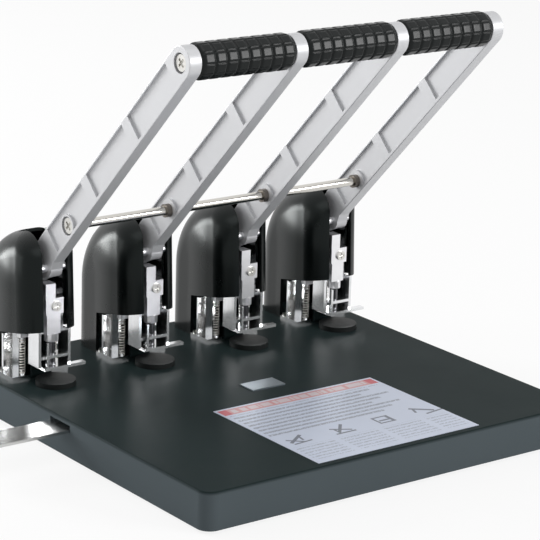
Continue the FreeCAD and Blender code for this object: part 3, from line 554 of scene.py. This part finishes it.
def grip_recipe():
    """A padded sleeve about the X axis: rings of cushions with grooves between them, its ends closed."""
    sleeve = Recipe("grip_sleeve", {
        "Length": "Float", "Radius": "Float", "Groove": "Float", "Land": "Float", "Rings": "Int",
        "Pads": "Int", "Steps": "Int", "Squareness": "Float", "Material": "Material",
    })
    length, radius, groove, land = (sleeve.input(label) for label in ("Length", "Radius", "Groove", "Land"))
    rings, pads, steps = (sleeve.input(label) for label in ("Rings", "Pads", "Steps"))
    square = sleeve.input("Squareness")

    # A flat grid becomes the sleeve: X runs along it, Y once round it. Its first and last columns
    # shrink to a point on the axis, and close the ends.
    along = rings * steps
    last_column = along + 2.0
    grid = sleeve.node("GeometryNodeMeshGrid", {}, 1.0, 1.0, last_column + 1.0, pads * steps + 1.0)
    place = sleeve.node("ShaderNodeSeparateXYZ", {}, sleeve.node("GeometryNodeInputPosition").outputs[0])
    column = ((Signal(sleeve, place.outputs[0]) + 0.5) * last_column + 0.5).whole()
    is_pole = (column < 0.5) | (column > last_column - 0.5)
    share = ((column - 1.0) / along).clamped()
    turn = Signal(sleeve, place.outputs[1]) + 0.5

    def cushion(position):
        """1 on a pad, falling steeply to 0 in the grooves on both sides of it."""
        slope = (position.fraction() * 2.0 - 1.0).size().math("POWER", square)
        return 1.0 - slope

    # Each pad is flat across, as a side of a polygon round the sleeve.
    height = cushion(share * rings) * cushion(turn * pads)
    half_pad = 1.0 / pads * math.pi
    off_middle = ((turn * pads).fraction() - 0.5) * half_pad * 2.0
    flat = half_pad.math("COSINE") / off_middle.math("COSINE")
    reach = (radius * flat - groove + height * groove) * (1.0 - is_pole)

    # The outermost rings of points stand a plain land away from the pads.
    hair = 0.0001
    on_land = (share < hair) | (share > 1.0 - hair)
    x = (share - 0.5) * (length - land * 2.0) + (share - 0.5) * 2.0 * land * on_land
    angle = turn * (2 * math.pi)
    y = reach * angle.math("COSINE")
    z = reach * angle.math("SINE") * -1.0

    spot = sleeve.node("ShaderNodeCombineXYZ", {}, x, y, z)
    bent = sleeve.node("GeometryNodeSetPosition", {}, grid.outputs[0], Position=spot.outputs[0])
    closed = sleeve.node("GeometryNodeMergeByDistance", {}, bent.outputs[0], Distance=WELD)
    smooth = sleeve.node("GeometryNodeSetShadeSmooth", {}, closed.outputs[0])
    real = sleeve.node("GeometryNodeRealizeInstances", {}, smooth.outputs[0])
    material = sleeve.input("Material")
    coloured = sleeve.node("GeometryNodeSetMaterial", {}, real.outputs[0], Material=material)
    sleeve.node("NodeGroupOutput", {}, coloured.outputs[0])
    return sleeve


def moulded_grips():
    """A sleeve with waffle pads in the place of each plain grip."""
    recipe = grip_recipe()
    for number in numbers("handle_grip"):
        low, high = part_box(f"handle_grip_{number}")
        own_sizes = {"Length": high.x - low.x, "Radius": (high.z - low.z) / 2, "Material": RUBBER}
        grip = recipe.make(f"grip_sleeve_{number}", {**GRIP_SIZES, **own_sizes})
        grip.data.transform(Matrix.Translation((low + high) / 2))
        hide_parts(f"handle_grip_{number}")
        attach(grip, "lever")


# --- return springs ----------------------------------------------------------------------------

WIRE_EDGE = math.radians(40)


def welded_copy(mesh):
    """A copy of a mesh with its loose triangles joined, shaded smooth except at its sharp edges."""
    copy = mesh.copy()
    shape = bmesh.new()
    shape.from_mesh(copy)
    bmesh.ops.remove_doubles(shape, verts=shape.verts, dist=WELD)
    shape.to_mesh(copy)
    shape.free()
    stored_normals = copy.attributes.get("custom_normal")
    if stored_normals:
        copy.attributes.remove(stored_normals)
    copy.shade_smooth()
    copy.set_sharp_from_angle(angle=WIRE_EDGE)
    return copy


def return_springs():
    """The coils as welded pieces of their own on the base, one for each head; the real pairs shorten as
    their plunger comes down, but these copies are not made to.
    """
    joints = {joint["name"]: joint for joint in frame["record"]["behaviour"]["joints"]}
    for number in numbers("return_springs"):
        node = f"return_springs_{number}"
        slide = f"punch_slide_{number}"
        low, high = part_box(node)
        travel = joints[slide]["range_m"][1]
        coils = add_object(f"spring_coils_{number}", welded_copy(nodes[node].data))
        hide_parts(node)
        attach(coils, "base")
        1 - travel / (high.z - low.z)
        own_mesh(coils)


# --- studio ------------------------------------------------------------------------------------

FLOOR_REACH = 8.0
FLOOR_COLOUR = (0.90, 0.90, 0.90)
FLOOR_WHITENESS = 0.85
AMBIENT = 0.42
# Soft lamps: place, aim and size in metres, power in watts.
LAMPS = {
    "softbox_top": ((0.0, -0.3, 2.2), (0, 0, 0), (1.6, 1.2), 8),
    "softbox_left": ((-1.6, 0.9, 0.9), (0, 0.05, 0.12), (0.7, 0.9), 4),
    "softbox_front": ((1.35, -2.0, 0.9), (0, 0, 0.15), (1.0, 0.6), 30),
    "softbox_back": ((-0.85, 2.0, 0.65), (0, 0, 0.1), (0.8, 1.0), 40),
}
CAMERA_PLACE = (-0.947, -1.2472, 0.5597)
CAMERA_YAW = math.radians(37.25)
CAMERA_PITCH = math.radians(16.15)
CAMERA_ROLL = math.radians(1.77)
SENSOR_WIDTH = 36.0
LENS = 163.45
VIEW_DEPTH = 50.0


def seen_ray(graph):
    """1 on rays from the camera, off gloss or through glass, and 0 on those that only carry light."""
    rays = graph.node("ShaderNodeLightPath").outputs
    return any_of([Signal(graph, rays[f"Is {way} Ray"]) for way in ("Camera", "Glossy", "Transmission")])


def studio_floor():
    """A pale floor that is nearly white where it is seen, and still takes the shadow."""
    mesh = bpy.data.meshes.new("studio_floor")
    signs = ((-1, -1), (1, -1), (1, 1), (-1, 1))
    mesh.from_pydata([(x * FLOOR_REACH, y * FLOOR_REACH, 0) for x, y in signs], [], [(0, 1, 2, 3)])
    paint = Finish("floor_white", Base_Color=FLOOR_COLOUR, Roughness=0.9, Specular_IOR_Level=0.1)
    paper = paint.node("ShaderNodeEmission", {}, Color=WHITE, Strength=1.0)
    share = seen_ray(paint) * FLOOR_WHITENESS
    both = paint.node("ShaderNodeMixShader", {}, share, paint.shader.outputs[0], paper.outputs[0])
    paint.feed(paint.output.inputs[0], both.outputs[0])
    mesh.materials.append(paint.material)
    add_object("studio_floor", mesh)


def studio_world():
    """White where it is seen, and dimmer as light on the object."""
    world = bpy.data.worlds.new("studio")
    world.use_nodes = True
    bpy.context.scene.world = world
    sky = Graph(world.node_tree)
    sky.tree.nodes.clear()
    strength = seen_ray(sky) * (1.0 - AMBIENT) + AMBIENT
    background = sky.node("ShaderNodeBackground", {}, Color=WHITE, Strength=strength)
    sky.node("ShaderNodeOutputWorld", {}, background.outputs[0])


def studio_lamps():
    for name, (place, aim, size, power) in LAMPS.items():
        data = bpy.data.lights.new(name, "AREA")
        data.shape = "RECTANGLE"
        data.size, data.size_y = size
        data.energy = power
        lamp = add_object(name, data)
        lamp.location = place
        lamp.rotation_euler = (Vector(aim) - Vector(place)).to_track_quat("-Z", "Y").to_euler()


def camera():
    flat = math.cos(CAMERA_PITCH)
    look = Vector((math.sin(CAMERA_YAW) * flat, math.cos(CAMERA_YAW) * flat, -math.sin(CAMERA_PITCH)))
    right = Vector((math.cos(CAMERA_YAW), -math.sin(CAMERA_YAW), 0))
    up = right.cross(look)
    turned_right = right * math.cos(CAMERA_ROLL) + up * math.sin(CAMERA_ROLL)
    turned_up = up * math.cos(CAMERA_ROLL) - right * math.sin(CAMERA_ROLL)
    data = bpy.data.cameras.new("camera")
    data.sensor_width = SENSOR_WIDTH
    data.lens = LENS
    data.clip_end = VIEW_DEPTH
    turn = Matrix((turned_right, turned_up, -look)).transposed().to_4x4()
    thing = add_object("camera", data)
    thing.matrix_world = Matrix.Translation(CAMERA_PLACE) @ turn
    bpy.context.scene.camera = thing


camera()
dress_nodes()
moulded_grips()
return_springs()
studio_floor()
studio_world()
studio_lamps()
bpy.context.scene.view_settings.view_transform = "Standard"
